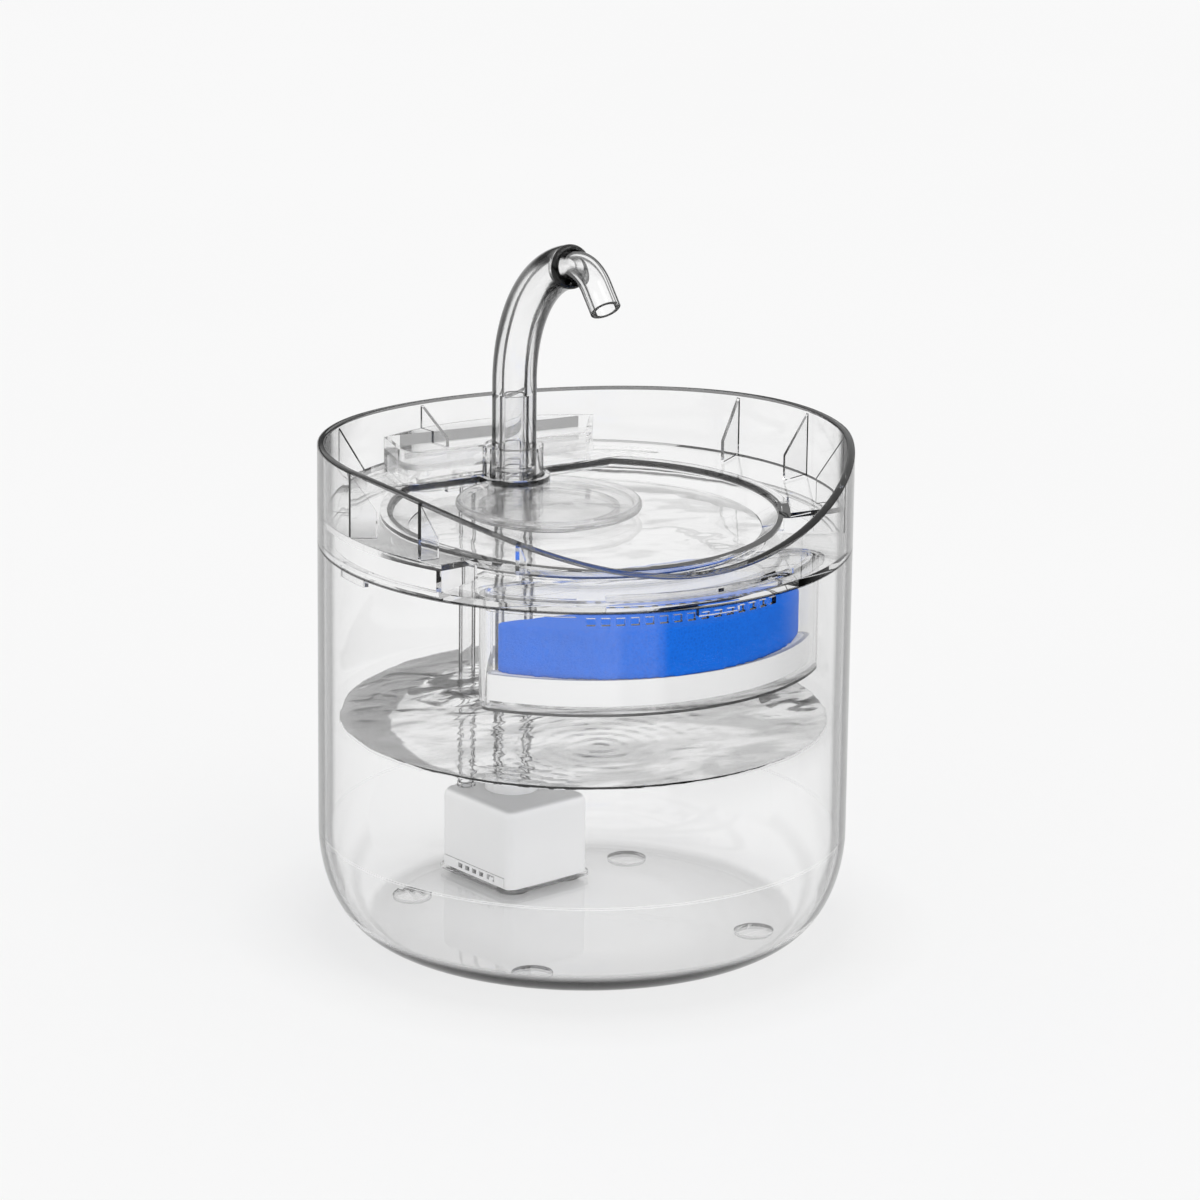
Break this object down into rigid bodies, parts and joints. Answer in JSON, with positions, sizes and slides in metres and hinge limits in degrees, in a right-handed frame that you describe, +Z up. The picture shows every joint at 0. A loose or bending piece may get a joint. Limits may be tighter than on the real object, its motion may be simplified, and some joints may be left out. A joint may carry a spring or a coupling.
{
  "type": "pet water fountain",
  "caption": "Clear round pet water fountain with a gooseneck faucet, a sloped drinking top, a hanging filter drawer and a submersible pump.",
  "frame": {"origin": "on the ground under the tank's centre", "axes": "+Z up; -Y is the front, the low side of the rim where the animal drinks; the faucet stands at the back, on +Y"},
  "size_m": [0.165, 0.165, 0.2156],
  "materials": {
    "clear_plastic": "clear moulded plastic, polished",
    "clear_silicone": "clear soft silicone",
    "white_plastic": "fine satin white moulding",
    "white_cotton": "pressed non-woven cotton",
    "carbon": "activated carbon granules in a pad",
    "blue_sponge": "open-cell foam",
    "black_rubber": "moulded rubber",
    "ferrite": "sintered ferrite",
    "shaft_steel": "ground stainless steel",
    "core_steel": "stacked steel laminations",
    "copper": "enamelled copper winding",
    "circuit_board": "circuit board with small components"
  },
  "bodies": {
    "tank": {"tank": "clear_plastic", "tank_feet": "clear_silicone", "pump_housing": "white_plastic", "pump_base_plate": "clear_plastic", "suction_cups": "clear_silicone", "volute_body": "white_plastic", "chamber_plate": "white_plastic", "chamber_seal": "black_rubber", "impeller_shaft": "shaft_steel", "shaft_bushes": "black_rubber", "stator_core": "core_steel", "stator_coil": "copper", "driver_board": "circuit_board", "outlet_collar": "white_plastic", "riser_tube": "clear_plastic", "cable_gland": "clear_silicone", "cable_guide_tube": "clear_plastic"},
    "lid": {"lid_shell": "clear_plastic", "riser_seal": "clear_silicone"},
    "tray": {"drinking_tray": "clear_plastic", "splash_disc": "clear_plastic"},
    "filter_drawer": {"filter_box": "clear_plastic", "cartridge_frame": "white_plastic", "cotton_pad_lower": "white_cotton", "carbon_layer": "carbon", "cotton_pad_upper": "white_cotton", "filter_sponge": "blue_sponge"},
    "faucet_ring": {"faucet_seal": "clear_silicone"},
    "faucet": {"faucet_tube": "clear_plastic", "faucet_nozzle": "clear_plastic"},
    "impeller": {"impeller": "white_plastic", "rotor_magnet": "ferrite"},
    "intake_cover": {"intake_cover": "white_plastic"},
    "flow_shutter": {"flow_shutter": "white_plastic"}
  },
  "joints": [
    {"name": "lid_lift", "type": "slide", "parent": "tank", "child": "lid", "axis": [0, 0, 1], "range_m": [0, 0.045]},
    {"name": "tray_lift", "type": "slide", "parent": "lid", "child": "tray", "axis": [0, 0, 1], "range_m": [0, 0.028]},
    {"name": "filter_drop", "type": "slide", "parent": "lid", "child": "filter_drawer", "axis": [0, 0, -1], "range_m": [0, 0.025]},
    {"name": "faucet_pull", "type": "slide", "parent": "lid", "child": "faucet_ring", "axis": [0, 0, 1], "range_m": [0, 0.03]},
    {"name": "faucet_swivel", "type": "hinge", "parent": "faucet_ring", "child": "faucet", "pos_m": [0, 0.0456, 0.138], "axis": [0, 0, 1], "continuous": true},
    {"name": "impeller_spin", "type": "hinge", "parent": "tank", "child": "impeller", "pos_m": [-0.00445, 0.03573, 0.014], "axis": [0, 0, 1], "continuous": true},
    {"name": "cover_pull", "type": "slide", "parent": "tank", "child": "intake_cover", "axis": [-0.9848, -0.1736, 0], "range_m": [0, 0.012]},
    {"name": "shutter_slide", "type": "slide", "parent": "intake_cover", "child": "flow_shutter", "axis": [-0.1736, 0.9848, 0], "range_m": [0, 0.0018]}
  ]
}
